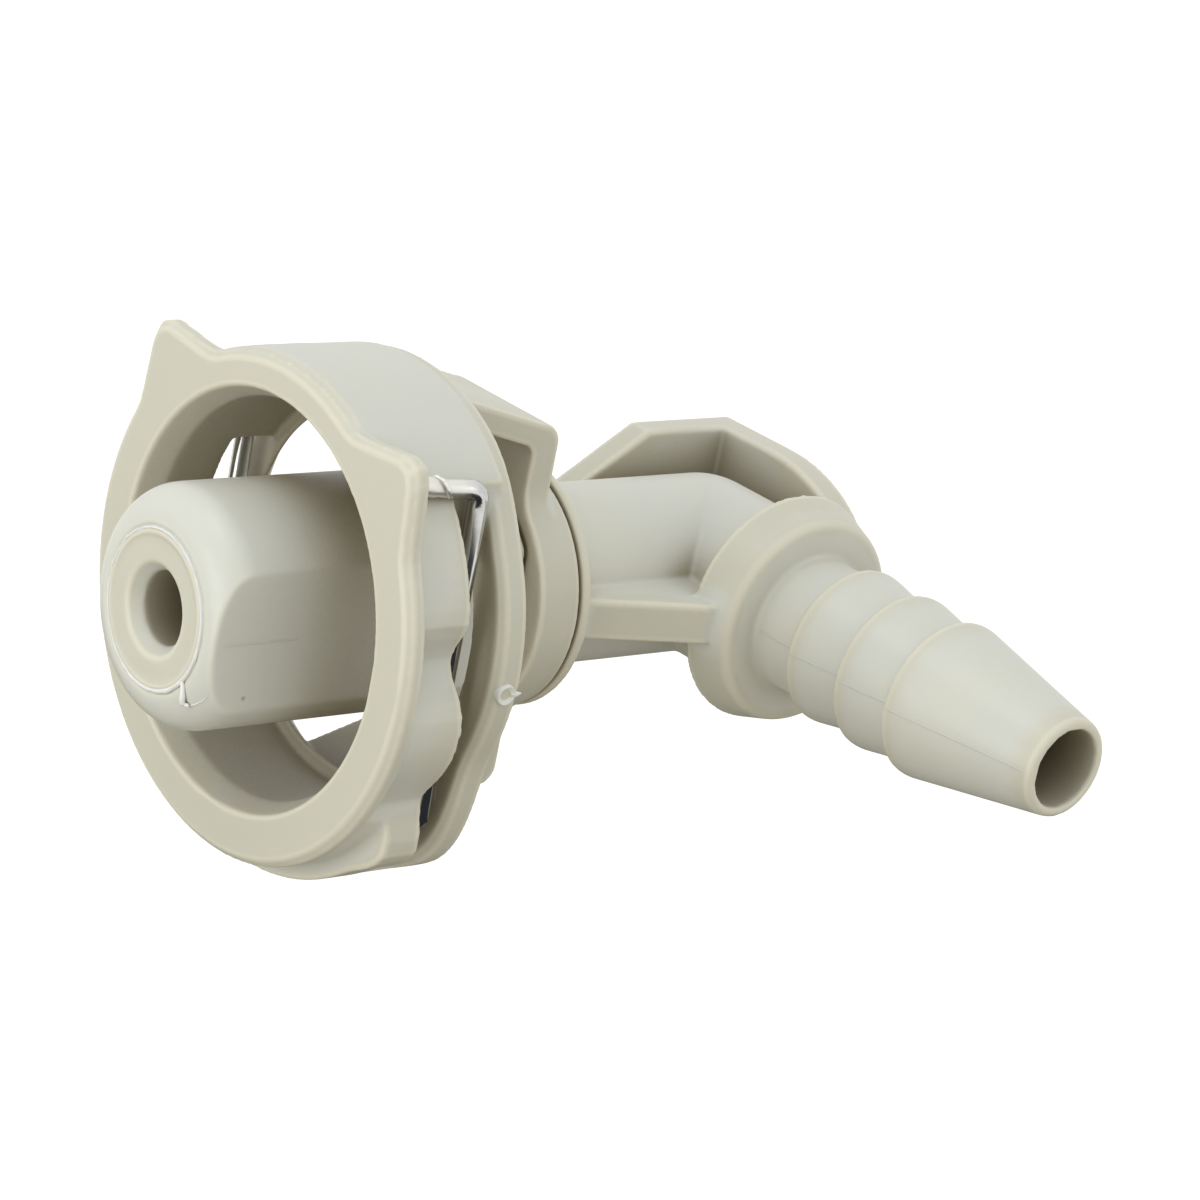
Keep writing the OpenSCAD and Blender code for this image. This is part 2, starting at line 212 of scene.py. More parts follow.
floor.data.materials.append(paper)
print("paper glow", FLOOR_GLOW)

# %% Dark card
CARD_R = 130
CARD_TOP = -41
CARD_HALF = math.radians(75)
CARD_FOOT = FLOOR_Z + 1
CARD_STEPS = 24
bend = bmesh.new()
across = Vector((-TOWARDS.x, -TOWARDS.y, 0)).normalized() * CARD_R
edge = Quaternion((0, 0, 1), -CARD_HALF) @ across
foot = bend.verts.new((edge + Vector((0, 0, CARD_FOOT))) * MM)
head = bend.verts.new((edge + Vector((0, 0, CARD_TOP))) * MM)
side = bend.edges.new((foot, head))
bmesh.ops.spin(bend, geom=[foot, head, side], cent=(0, 0, 0), axis=(0, 0, 1),
               angle=2 * CARD_HALF, steps=CARD_STEPS)
bmesh.ops.create_circle(bend, cap_ends=True, segments=2 * CARD_STEPS, radius=CARD_R * MM,
                        matrix=Matrix.Translation((0, 0, CARD_FOOT * MM)))
card_mesh = bpy.data.meshes.new("dark card")
bend.to_mesh(card_mesh)
bend.free()
card = bpy.data.objects.new("dark card", card_mesh)
bpy.context.scene.collection.objects.link(card)
card.visible_camera = False
card.visible_diffuse = False
card.visible_transmission = False
card.visible_shadow = False
print("card", CARD_R, "mm from the origin")

# %% Black paper
BLACK_TONE = (0.012, 0.013, 0.02)
black_paper = bpy.data.materials.new("black paper")
black_paper.use_nodes = True
dark = black_paper.node_tree.nodes["Principled BSDF"]
dark.inputs["Base Color"].default_value = (*BLACK_TONE, 1)
dark.inputs["Roughness"].default_value = PAPER_ROUGHNESS
card.data.materials.append(black_paper)
print("card material:", black_paper.name)

# %% [markdown]
# ## Shared effects
# The plastic of all three mouldings has the same faint clouding, the same fine grain and a few dark
# specks. Its edges get a painted highlight, and its hollows get painted shade that is darker than its
# faces. These effects are node groups, which are built once and placed in each material with its own
# values. The painted edge light and hollow shade group lays four colours over the plastic, each by a
# value that the material feeds in.


# %% Group helpers
def new_group(name, inputs, outputs):
    """An empty node group with named sockets, and its ends."""
    group = bpy.data.node_groups.new(name, "ShaderNodeTree")
    for label, kind, value in inputs:
        socket = group.interface.new_socket(label, in_out="INPUT", socket_type=kind)
        if value is not None:
            socket.default_value = value
    for label, kind in outputs:
        group.interface.new_socket(label, in_out="OUTPUT", socket_type=kind)
    return group, group.nodes.new("NodeGroupInput"), group.nodes.new("NodeGroupOutput")


def place_group(nodes, group, values):
    """Place a node group in a material, and set its inputs by name."""
    placed = nodes.new("ShaderNodeGroup")
    placed.node_tree = group
    for label, value in values.items():
        placed.inputs[label].default_value = value
    return placed


print("helpers: new_group, place_group")


# %% Clouding of moulded plastic
CLOUD_DETAIL = 3
CLOUD_LOW, CLOUD_HIGH = 0.35, 0.65
clouding, start, end = new_group(
    "Moulded clouding",
    [("Vector", "NodeSocketVector", None), ("Colour", "NodeSocketColor", None),
     ("Warm colour", "NodeSocketColor", None), ("Cloud size", "NodeSocketFloat", 120.0),
     ("Roughness low", "NodeSocketFloat", 0.4), ("Roughness high", "NodeSocketFloat", 0.5)],
    [("Colour", "NodeSocketColor"), ("Roughness", "NodeSocketFloat")])
clouds = clouding.nodes.new("ShaderNodeTexNoise")
clouds.inputs["Detail"].default_value = CLOUD_DETAIL
clouding.links.new(start.outputs["Vector"], clouds.inputs["Vector"])
clouding.links.new(start.outputs["Cloud size"], clouds.inputs["Scale"])
tone = clouding.nodes.new("ShaderNodeMix")
tone.data_type = "RGBA"
spread = clouding.nodes.new("ShaderNodeMapRange")
spread.inputs["From Min"].default_value = CLOUD_LOW
spread.inputs["From Max"].default_value = CLOUD_HIGH
clouding.links.new(clouds.outputs["Fac"], spread.inputs["Value"])
clouding.links.new(spread.outputs["Result"], tone.inputs["Factor"])
clouding.links.new(start.outputs["Colour"], tone.inputs["A"])
clouding.links.new(start.outputs["Warm colour"], tone.inputs["B"])
gloss = clouding.nodes.new("ShaderNodeMapRange")
clouding.links.new(clouds.outputs["Fac"], gloss.inputs["Value"])
clouding.links.new(start.outputs["Roughness low"], gloss.inputs["To Min"])
clouding.links.new(start.outputs["Roughness high"], gloss.inputs["To Max"])
clouding.links.new(tone.outputs["Result"], end.inputs["Colour"])
clouding.links.new(gloss.outputs["Result"], end.inputs["Roughness"])
print("group:", clouding.name)

# %% Fine grain
PIT_DETAIL = 2
WAVE_DETAIL = 1
grain, start, end = new_group(
    "Fine grain",
    [("Vector", "NodeSocketVector", None), ("Grain size", "NodeSocketFloat", 5000.0),
     ("Waves size", "NodeSocketFloat", 400.0), ("Grain share", "NodeSocketFloat", 0.3)],
    [("Height", "NodeSocketFloat")])
pits = grain.nodes.new("ShaderNodeTexNoise")
pits.inputs["Detail"].default_value = PIT_DETAIL
waves = grain.nodes.new("ShaderNodeTexNoise")
waves.inputs["Detail"].default_value = WAVE_DETAIL
blend = grain.nodes.new("ShaderNodeMix")
grain.links.new(start.outputs["Vector"], pits.inputs["Vector"])
grain.links.new(start.outputs["Vector"], waves.inputs["Vector"])
grain.links.new(start.outputs["Grain size"], pits.inputs["Scale"])
grain.links.new(start.outputs["Waves size"], waves.inputs["Scale"])
grain.links.new(start.outputs["Grain share"], blend.inputs["Factor"])
grain.links.new(waves.outputs["Fac"], blend.inputs["A"])
grain.links.new(pits.outputs["Fac"], blend.inputs["B"])
grain.links.new(blend.outputs["Result"], end.inputs["Height"])
print("group:", grain.name)

# %% Painted edge light and hollow shade
# Painted light: a creamy tint on thin rims and rounded edges, and painted shade in hollows and bores.
PAINTED_LIGHT_TONES = (
    ("Painted rim light", "Breadth", 0.07, 0.20),
    ("Painted edge highlight", "Convexity", 0.10, 0.38),
    ("Painted hollow shade", "Openness", 0.68, 0.22),
    ("Painted deep shade", "Openness", 0.22, 0.0),
)
painted_light_group, start, end = new_group(
    "Painted edge light and hollow shade",
    [("Colour", "NodeSocketColor", None)]
    + [(label, "NodeSocketColor", None) for label, *_ in PAINTED_LIGHT_TONES]
    + [("Breadth", "NodeSocketFloat", 0.0),
       ("Convexity", "NodeSocketFloat", 0.0), ("Openness", "NodeSocketFloat", 1.0)],
    [("Colour", "NodeSocketColor")])


def toned(before, label, source, low, high):
    """Mixes a colour of the group in as a value of the surface goes from low to high."""
    reach = painted_light_group.nodes.new("ShaderNodeMapRange")
    reach.interpolation_type = "SMOOTHSTEP"
    reach.inputs["From Min"].default_value = low
    reach.inputs["From Max"].default_value = high
    mixed = painted_light_group.nodes.new("ShaderNodeMix")
    mixed.data_type = "RGBA"
    painted_light_group.links.new(start.outputs[source], reach.inputs["Value"])
    painted_light_group.links.new(reach.outputs["Result"], mixed.inputs["Factor"])
    painted_light_group.links.new(before, mixed.inputs["A"])
    painted_light_group.links.new(start.outputs[label], mixed.inputs["B"])
    return mixed.outputs["Result"]


surface = start.outputs["Colour"]
for tone_step in PAINTED_LIGHT_TONES:
    surface = toned(surface, *tone_step)
painted_light_group.links.new(surface, end.inputs["Colour"])
print("group:", painted_light_group.name)

# %% Dark speck
speck, start, end = new_group(
    "Dark speck",
    [("Vector", "NodeSocketVector", None), ("Place", "NodeSocketVector", None),
     ("Reach", "NodeSocketFloat", 0.0003)],
    [("Mask", "NodeSocketFloat")])
away = speck.nodes.new("ShaderNodeVectorMath")
away.operation = "DISTANCE"
fade = speck.nodes.new("ShaderNodeMapRange")
fade.inputs["To Min"].default_value = 1
fade.inputs["To Max"].default_value = 0
speck.links.new(start.outputs["Vector"], away.inputs[0])
speck.links.new(start.outputs["Place"], away.inputs[1])
speck.links.new(away.outputs["Value"], fade.inputs["Value"])
speck.links.new(start.outputs["Reach"], fade.inputs["From Max"])
speck.links.new(fade.outputs["Result"], end.inputs["Mask"])
print("group:", speck.name)

# %% [markdown]
# ## The plastic
# The grey plastic lets a little light in, and Subsurface scattering on the Principled BSDF does
# that. Its thin edges and rims get painted light, a creamy tint that stands for light coming through
# the thin plastic. Its hollows get painted shade, darker and warmer, because light that bounces inside
# them takes up the plastic's own colour. The mesh stores how round it is at each point, which finds
# the edges, and Ambient Occlusion finds the hollows for the painted shade. The roughness is that of a
# polished mould with fine wear. The painted light tints below multiply the plastic's own colour.


# %% Specks and painted light
# Reach and samples of the Ambient Occlusion that places the painted shade in hollows.
PAINTED_SHADE_REACH = 14
PAINTED_SHADE_SAMPLES = 8
SPECK_SHADE = 0.35


def specked(nodes, links, where, surface, warm, specks):
    """Lay small dark specks over a colour, each fading out from its own place."""
    for place, reach in specks:
        dirt = place_group(nodes, speck, {"Place": Vector(place) * MM, "Reach": reach * MM})
        stained = nodes.new("ShaderNodeMix")
        stained.data_type = "RGBA"
        stained.inputs["B"].default_value = (*[SPECK_SHADE * v for v in warm], 1)
        links.new(where.outputs["Object"], dirt.inputs["Vector"])
        links.new(dirt.outputs["Mask"], stained.inputs["Factor"])
        links.new(surface, stained.inputs["A"])
        surface = stained.outputs["Result"]
    return surface


def painted_light_by_shape(nodes, links, surface, colour, painted_light_tints):
    """Paint edge highlights and hollow shade into a colour, by stored rounding and AO."""
    painted_light = place_group(nodes, painted_light_group, {
        label: (*[c * k for c, k in zip(colour, tint)], 1) for (label, *_), tint in zip(PAINTED_LIGHT_TONES, painted_light_tints)})
    for stored, label in (("rounding", "Convexity"), ("thin_rim", "Breadth")):
        read = nodes.new("ShaderNodeAttribute")
        read.attribute_name = stored
        links.new(read.outputs["Fac"], painted_light.inputs[label])
    # How open each point is decides the painted shade in hollows and bores.
    open_sky = nodes.new("ShaderNodeAmbientOcclusion")
    open_sky.samples = PAINTED_SHADE_SAMPLES
    open_sky.inputs["Distance"].default_value = PAINTED_SHADE_REACH * MM
    links.new(open_sky.outputs["AO"], painted_light.inputs["Openness"])
    links.new(surface, painted_light.inputs["Colour"])
    return painted_light.outputs["Colour"]


print("hollows reach", PAINTED_SHADE_REACH, "mm")

# %% Plastic material
# Painted light, as tints: creamy rims and edges for light through the plastic, shade in hollows and
# bores.
PAINTED_RIM_LIGHT_TINT = (0.965, 0.93, 0.85)
PAINTED_EDGE_HIGHLIGHT_TINT = (1.08, 1.035, 0.94)
PAINTED_HOLLOW_SHADE_TINT = (0.58, 0.515, 0.40)
PAINTED_DEEP_SHADE_TINT = (0.16, 0.105, 0.035)
PLASTIC_PAINTED_LIGHT_TINTS = (PAINTED_RIM_LIGHT_TINT, PAINTED_EDGE_HIGHLIGHT_TINT, PAINTED_HOLLOW_SHADE_TINT, PAINTED_DEEP_SHADE_TINT)
POLISH_SPREAD = 0.08
PLASTIC_IOR = 1.46
INNER_LIGHT = 0.2
INNER_RADIUS = (1.0, 0.85, 0.5)
INNER_DEPTH = 0.8


def satin_plastic(name, colour, warm, roughness, grain_depth, specks=(), painted_light_tints=PLASTIC_PAINTED_LIGHT_TINTS):
    """Warm grey plastic with clouding, grain, specks, inner light, painted edge light and shade."""
    material = bpy.data.materials.new(name)
    material.use_nodes = True
    nodes, links = material.node_tree.nodes, material.node_tree.links
    shader = nodes["Principled BSDF"]
    where = nodes.new("ShaderNodeTexCoord")
    clouds = place_group(nodes, clouding, {
        "Colour": (*colour, 1), "Warm colour": (*warm, 1),
        "Roughness low": roughness - POLISH_SPREAD, "Roughness high": roughness + POLISH_SPREAD})
    fine = place_group(nodes, grain, {})
    bump = nodes.new("ShaderNodeBump")
    bump.inputs["Distance"].default_value = grain_depth * MM
    links.new(where.outputs["Object"], clouds.inputs["Vector"])
    links.new(where.outputs["Object"], fine.inputs["Vector"])
    surface = specked(nodes, links, where, clouds.outputs["Colour"], warm, specks)
    surface = painted_light_by_shape(nodes, links, surface, colour, painted_light_tints)
    links.new(surface, shader.inputs["Base Color"])
    links.new(clouds.outputs["Roughness"], shader.inputs["Roughness"])
    links.new(fine.outputs["Height"], bump.inputs["Height"])
    links.new(bump.outputs["Normal"], shader.inputs["Normal"])
    shader.inputs["IOR"].default_value = PLASTIC_IOR
    shader.inputs["Subsurface Weight"].default_value = INNER_LIGHT
    shader.inputs["Subsurface Radius"].default_value = INNER_RADIUS
    shader.inputs["Subsurface Scale"].default_value = INNER_DEPTH * MM
    return material


print("plastic tints:", len(PLASTIC_PAINTED_LIGHT_TINTS))

# %% The plastics
# The probe's painted edge light is fainter, and the weld's tints paint almost no light or shade.
PROBE_PAINTED_LIGHT_TINTS = ((1.0, 1.0, 0.98), (1.05, 1.04, 0.99), PAINTED_HOLLOW_SHADE_TINT, PAINTED_DEEP_SHADE_TINT)
WELD_PAINTED_LIGHT_TINTS = ((1.0, 1.0, 1.0), (1.0, 1.0, 0.98), (0.96, 0.95, 0.92), (0.85, 0.83, 0.78))
GREY = (0.600, 0.590, 0.515)
WARM_GREY = (0.620, 0.600, 0.505)
WELD_GREY = (0.770, 0.755, 0.680)
WELD_WARM = (0.76, 0.75, 0.69)
# Painted shade in the gate's pit: browner and darker than the nub round it.
PIT_PAINTED_SHADE = (0.640, 0.570, 0.400)
PROBE_GREY = (0.62, 0.61, 0.54)
FLAT_SPECK = ((-3.7, -6.4, -3.7), 0.22)
BORE_SPECK = ((0.3, 8.7, 10.4), 0.3)
cage_plastic = satin_plastic("cage plastic", GREY, WARM_GREY, 0.46, 0.012, [BORE_SPECK])
elbow_plastic = satin_plastic("elbow plastic", GREY, WARM_GREY, 0.42, 0.010)
probe_plastic = satin_plastic("probe plastic", PROBE_GREY, WARM_GREY, 0.38, 0.008, [FLAT_SPECK],
                              PROBE_PAINTED_LIGHT_TINTS)
weld_plastic = satin_plastic("weld plastic", WELD_GREY, WELD_WARM, 0.34, 0.004, painted_light_tints=WELD_PAINTED_LIGHT_TINTS)
pit_shade_plastic = satin_plastic("pit painted shade", PIT_PAINTED_SHADE, WARM_GREY, 0.55, 0.02, painted_light_tints=WELD_PAINTED_LIGHT_TINTS)
print("plastics:", cage_plastic.name, elbow_plastic.name, probe_plastic.name)

# %% [markdown]
# ## The steel
# The clip is drawn spring wire, which mirrors the white tent and the dark card. The shears dulled
# its two ends, so the colour and the roughness change along the probe's axis, towards the ends.

# %% Steel material
STEEL_GREY = (0.62, 0.62, 0.62)
STEEL_ROUGHNESS = 0.10
STEEL_SHADE = 0.85
STREAK_SIZE = 900
DULL_FROM = 6.8
DULL_TO = 5.6
SHEARED_STEEL = (0.78, 0.77, 0.71)
SHEARED_ROUGHNESS = 0.42


def polished_steel(name, colour, roughness):
    """Drawn spring wire with a faint change of polish along it, and ends dulled by the shears."""
    material = bpy.data.materials.new(name)
    material.use_nodes = True
    nodes, links = material.node_tree.nodes, material.node_tree.links
    shader = nodes["Principled BSDF"]
    shader.inputs["Metallic"].default_value = 1
    where = nodes.new("ShaderNodeTexCoord")
    clouds = place_group(nodes, clouding, {
        "Colour": (*colour, 1), "Warm colour": (*[STEEL_SHADE * v for v in colour], 1),
        "Cloud size": STREAK_SIZE, "Roughness low": roughness / 2, "Roughness high": roughness * 2})
    links.new(where.outputs["Object"], clouds.inputs["Vector"])
    apart = nodes.new("ShaderNodeSeparateXYZ")
    dull = nodes.new("ShaderNodeMapRange")
    dull.inputs["From Min"].default_value = DULL_FROM * MM
    dull.inputs["From Max"].default_value = DULL_TO * MM
    links.new(where.outputs["Object"], apart.inputs[0])
    links.new(apart.outputs["X"], dull.inputs["Value"])
    tone = nodes.new("ShaderNodeMix")
    tone.data_type = "RGBA"
    tone.inputs["B"].default_value = (*SHEARED_STEEL, 1)
    polish = nodes.new("ShaderNodeMix")
    polish.inputs["B"].default_value = SHEARED_ROUGHNESS
    for mixed, source, target in ((tone, "Colour", "Base Color"), (polish, "Roughness", "Roughness")):
        links.new(dull.outputs["Result"], mixed.inputs["Factor"])
        links.new(clouds.outputs[source], mixed.inputs["A"])
        links.new(mixed.outputs["Result"], shader.inputs[target])
    return material


wire_steel = polished_steel("wire steel", STEEL_GREY, STEEL_ROUGHNESS)
print("steel:", wire_steel.name)

# %% [markdown]
# ## Soft moulded edges
# No edge of a moulding is sharp. A copy of each imported piece is merged to one closed skin, cut
# into even voxels and smoothed, which rounds edges and fills corners as a mould does. The flat
# and round faces between them keep their place. The script then measures how far each point of the
# skin stands out from its neighbours, evens that out, and stores it for the plastic's painted edge
# highlight and rim light.

# %% Rounding of the edges
EVEN_ROUNDS = {"rounding": 5, "thin_rim": 90}
SHORTEST = 1e-12


def store_rounding(mesh):
    """Store how strongly the skin curves outwards at each point, evened over its neighbours."""
    count = len(mesh.vertices)
    place, normal = np.empty(3 * count), np.empty(3 * count)
    mesh.vertices.foreach_get("co", place)
    mesh.vertices.foreach_get("normal", normal)
    place, normal = place.reshape(-1, 3), normal.reshape(-1, 3)
    ends = np.empty(2 * len(mesh.edges), dtype=np.int32)
    mesh.edges.foreach_get("vertices", ends)
    one, other = ends[0::2], ends[1::2]
    step = place[other] - place[one]
    length = np.maximum((step ** 2).sum(axis=1), SHORTEST)
    drop_one = -(step * normal[one]).sum(axis=1) / length
    drop_other = (step * normal[other]).sum(axis=1) / length
    near = np.maximum(np.bincount(one, minlength=count) + np.bincount(other, minlength=count), 1)
    curve = (np.bincount(one, drop_one, count) + np.bincount(other, drop_other, count)) / near
    for label, rounds in EVEN_ROUNDS.items():
        even = curve
        for _ in range(rounds):
            around = (np.bincount(one, even[other], count) + np.bincount(other, even[one], count)) / near
            even = (even + around) / 2
        stored = mesh.attributes.new(label, "FLOAT", "POINT")
        stored.data.foreach_set("value", (even * MM).astype(np.float32))
        print(label, "from", round(float(even.min() * MM), 2), "to", round(float(even.max() * MM), 2))


print("stored on each moulding:", list(EVEN_ROUNDS))


# %% Moulded copy
MERGED = 0.001
VOXEL = 0.16
SOFTNESS = 0.5


def evened(piece, passes, share):
    """The mesh of a piece cut into even voxels, smoothed and then thinned to a share of its faces."""
    skin = piece.modifiers.new("even skin", "REMESH")
    skin.mode = "VOXEL"
    skin.voxel_size = VOXEL * MM
    soft = piece.modifiers.new("soft edges", "SMOOTH")
    soft.factor = SOFTNESS
    soft.iterations = passes
    fewer = piece.modifiers.new("fewer faces", "DECIMATE")
    fewer.ratio = share
    finished = bpy.data.meshes.new_from_object(piece.evaluated_get(bpy.context.evaluated_depsgraph_get()))
    piece.modifiers.clear()
    return finished


def moulded(name, node, material, passes, share):
    """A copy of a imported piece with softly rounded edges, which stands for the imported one."""
    shell = bmesh.new()
    shell.from_mesh(frame["nodes"][node].data)
    bmesh.ops.remove_doubles(shell, verts=shell.verts, dist=MERGED * MM)
    rough = bpy.data.meshes.new(name)
    shell.to_mesh(rough)
    shell.free()
    piece = bpy.data.objects.new(name, rough)
    bpy.context.scene.collection.objects.link(piece)
    piece.data = evened(piece, passes, share)
    piece.data.shade_smooth()
    piece.data.materials.clear()
    piece.data.materials.append(material)
    store_rounding(piece.data)
    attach(piece, body_of(frame["nodes"][node])[0])
    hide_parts(node)
    print(name, sum(len(face.vertices) - 2 for face in piece.data.polygons), "triangles")
    return piece


cage = moulded("cage_moulding", "latch_cage", cage_plastic, 8, 0.45)
elbow = moulded("elbow_moulding", "elbow_body", elbow_plastic, 6, 0.33)
probe = moulded("probe_moulding", "probe_sleeve", probe_plastic, 14, 0.5)

# %% [markdown]
# ## Threads
# The wire, the weld line and the moulding flash are all round threads that follow a path, so one
# helper makes them. A poly curve with a bevel does it, because each of its points can have its
# own thickness. A second helper drops points onto a finished moulding with rays, so that a parting
# line follows every crest and step. A third one turns a corner of a path into a small bend.


# %% Thread helpers
ROUND_STEPS = 4


def thread(name, points, radius, material, body, widths=None, closed=False):
    """A round thread through points in millimetres, as a mesh that rides on a body."""
    line = bpy.data.curves.new(name, "CURVE")
    line.dimensions = "3D"
    line.bevel_depth = radius * MM
    line.bevel_resolution = ROUND_STEPS
    line.use_fill_caps = not closed
    path = line.splines.new("POLY")
    path.points.add(len(points) - 1)
    path.use_cyclic_u = closed
    for index, (knot, point) in enumerate(zip(path.points, points)):
        knot.co = (*(Vector(point) * MM), 1)
        knot.radius = widths[index] if widths else 1
    holder = bpy.data.objects.new(name + "_path", line)
    bpy.context.scene.collection.objects.link(holder)
    mesh = bpy.data.meshes.new_from_object(holder.evaluated_get(bpy.context.evaluated_depsgraph_get()))
    bpy.data.objects.remove(holder)
    mesh.shade_smooth()
    mesh.materials.clear()
    mesh.materials.append(material)
    piece = bpy.data.objects.new(name, mesh)
    bpy.context.scene.collection.objects.link(piece)
    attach(piece, body)
    print(name, len(points), "points")
    return piece


def dropped(piece, starts, towards, sink):
    """Where rays from the starts meet a moulding, sunk into it by a small depth."""
    skin = BVHTree.FromObject(piece, bpy.context.evaluated_depsgraph_get())
    landed = []
    for start, direction in zip(starts, towards):
        direction = Vector(direction).normalized()
        place = skin.ray_cast(Vector(start) * MM, direction)[0]
        if place:
            landed.append(place / MM + direction * sink)
    return landed


def bent(corners, cut, steps=6):
    """The path through the corners, with each inner corner turned into a small bend."""
    path = [Vector(corners[0])]
    for before, corner, after in zip(corners, corners[1:], corners[2:]):
        before, corner, after = Vector(before), Vector(corner), Vector(after)
        enter = corner + (before - corner).normalized() * cut
        leave = corner + (after - corner).normalized() * cut
        for step in range(steps + 1):
            share = step / steps
            path.append(enter.lerp(corner, share).lerp(corner.lerp(leave, share), share))
    path.append(Vector(corners[-1]))
    return path


def polar(x, radius, degrees):
    """A point at an angle round the probe's axis, from the top towards the barb's side."""
    angle = math.radians(degrees)
    return Vector((x, -radius * math.sin(angle), radius * math.cos(angle)))


print("helpers: thread, dropped, bent, polar")

# %% [markdown]
# ## The wire clip
# One bent spring wire lies in the slot. Its bow runs round the bottom, its legs cross the ring, and
# its two ends turn forwards behind the ears. Shears have squeezed the ends to a thinner tip with a
# burr in front of it.

# %% Wire
WIRE_R = 0.7
WIRE_X = 7.25
LEG_Y = 12.25
LEG_TOP = 11.75
BOW_R = 16.1
BOW_STEP = 4
BEND = 1.1
PINCHED = (4.3, LEG_Y - 0.25, LEG_TOP + 0.1)
TIP = (2.8, LEG_Y - 0.3, LEG_TOP + 0.35)
FULL, SQUEEZED = 0.95, 0.85
SQUEEZE_FROM, SQUEEZE_TO = 3.9, 6.2
leg_angle = math.degrees(math.asin(LEG_Y / BOW_R))
reach = round(leg_angle)
bow = [polar(WIRE_X, BOW_R, 180 + turn) for turn in range(-reach, reach + 1, BOW_STEP)]
bow_end = polar(WIRE_X, BOW_R, 180 + leg_angle)
one_side = bent([bow_end, (WIRE_X, LEG_Y, LEG_TOP), PINCHED, TIP], BEND)
other_side = [Vector((point.x, -point.y, point.z)) for point in reversed(one_side)]
route = other_side + bow[1:-1] + one_side
widths = [SQUEEZED if SQUEEZE_FROM <= point.x < SQUEEZE_TO else FULL for point in route]
wire = thread("bent_wire", route, WIRE_R, wire_steel, "cage", widths)
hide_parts("wire_clip")

# %% Burrs
BURR_X = 4.1
BURR_Y = LEG_Y - 0.25
BURR_Z = LEG_TOP + 0.15
BURR_R = 0.66
BURR_THICK = 0.17
BURR_SLANT = 0.006
BURR_TURNS = range(-60, 151, 15)
last = len(BURR_TURNS) - 1
burr_widths = [0.3 + math.sin(math.pi * i / last) * (1 + 0.35 * math.sin(2.1 * i))
               for i in range(len(BURR_TURNS))]
for label, side in (("near", -1), ("far", 1)):
    ring = [(BURR_X + BURR_SLANT * (turn - 45),
             side * (BURR_Y + BURR_R * math.sin(math.radians(turn))),
             BURR_Z + BURR_R * math.cos(math.radians(turn))) for turn in BURR_TURNS]
    thread("wire_burr_" + label, ring, BURR_THICK, wire_steel, "cage", burr_widths)

# %% [markdown]
# ## Weld and flash
# The tube of the elbow is welded into the probe's sleeve. A wider seam fills the joint, and the
# weld has squeezed out a thin pale bead on it, round the outlet. The bead's thickness changes along
# the seam, which noise on its points gives. Below the outlet a curl of flash hangs from the bead,
# and a thin tail of it runs on over the nose.

# %% Weld seam
WELD_R = 5.15
NOSE_X = -6.85
SEAM_R = 0.24
ALL_ROUND = range(0, 360, 3)
seam = [polar(NOSE_X + SEAM_R, WELD_R, degrees) for degrees in ALL_ROUND]
thread("weld_seam", seam, SEAM_R, probe_plastic, "connector", closed=True)

# %% Weld bead
BEAD_R = 0.11
BEAD_SINK = 0.02
BEAD_WANDER = 0.06
RIPPLE_STEP = 9
THICK_SIDE = 150
bead_points, bead_widths = [], []
for degrees in ALL_ROUND:
    swell = max(0, math.cos(math.radians(degrees - THICK_SIDE))) ** 1.5
    ripple = noise.noise(Vector((degrees / RIPPLE_STEP, 0, 0)))
    bead_points.append(polar(NOSE_X + BEAD_SINK, WELD_R + BEAD_WANDER * ripple, degrees))
    bead_widths.append(0.75 + 0.75 * swell + 0.45 * ripple)
thread("weld_bead", bead_points, BEAD_R, weld_plastic, "connector", bead_widths,
       closed=True)

# %% Flash curl
CURL = [(-6.84, -4.05, -3.13), (-6.88, -4.30, -3.45), (-6.88, -4.43, -3.95), (-6.84, -4.44, -4.51),
        (-6.72, -4.68, -4.60), (-6.60, -4.87, -4.53)]
CURL_BEND = 0.2
CURL_R = 0.16
curl_points = bent(CURL, CURL_BEND)
last = len(curl_points) - 1
curl_widths = [1.3 - 0.5 * abs(2 * i / last - 1) for i in range(len(curl_points))]
thread("flash_curl", curl_points, CURL_R, weld_plastic, "connector", curl_widths)

# %% Flash tail
CRESCENT = [(-4.87, -4.53), (-5.2, -4.34), (-5.72, -3.9), (-6.05, -3.44), (-6.2, -2.8)]
TAIL_R = 0.07
TAIL_WIDTHS = [1, 0.9, 0.8, 0.6, 0.3]
BEFORE_NOSE = -12
tail = dropped(probe, [(BEFORE_NOSE, y, z) for y, z in CRESCENT], [(1, 0, 0)] * len(CRESCENT), 0)
thread("flash_tail", tail, TAIL_R, weld_plastic, "connector", TAIL_WIDTHS)

# %% [markdown]
# ## Parting lines
# Each moulding was made in two halves of a mould, and a fine raised line shows where they met. On
# the probe's flat and along both sides of the barb it lies in the middle plane. On the cage it runs
# over the top web and ends at the rear flange, and a short one crosses the lip near the bottom.


# %% Parting lines on the connector
LINE_R = 0.06
LINE_SINK = 0.03
FAR = 30
BARB_X = 38.7
FLAT_COUNT = 12
BARB_COUNT = 90


def steps(first, last, count):
    """Evenly spaced numbers from first to last."""
    return [first + (last - first) * i / (count - 1) for i in range(count)]


flat_starts = [(x, -FAR, 0) for x in steps(-5.8, -0.3, FLAT_COUNT)]
flat_points = dropped(probe, flat_starts, [(0, 1, 0)] * FLAT_COUNT, LINE_SINK)
thread("flat_line", flat_points, LINE_R, probe_plastic, "connector")
for label, side in (("near", -1), ("far", 1)):
    starts = [(BARB_X + side * FAR, y, 0) for y in steps(-36.2, -12.3, BARB_COUNT)]
    barb_points = dropped(elbow, starts, [(-side, 0, 0)] * BARB_COUNT, LINE_SINK)
    thread("barb_line_" + label, barb_points, LINE_R, elbow_plastic, "connector")

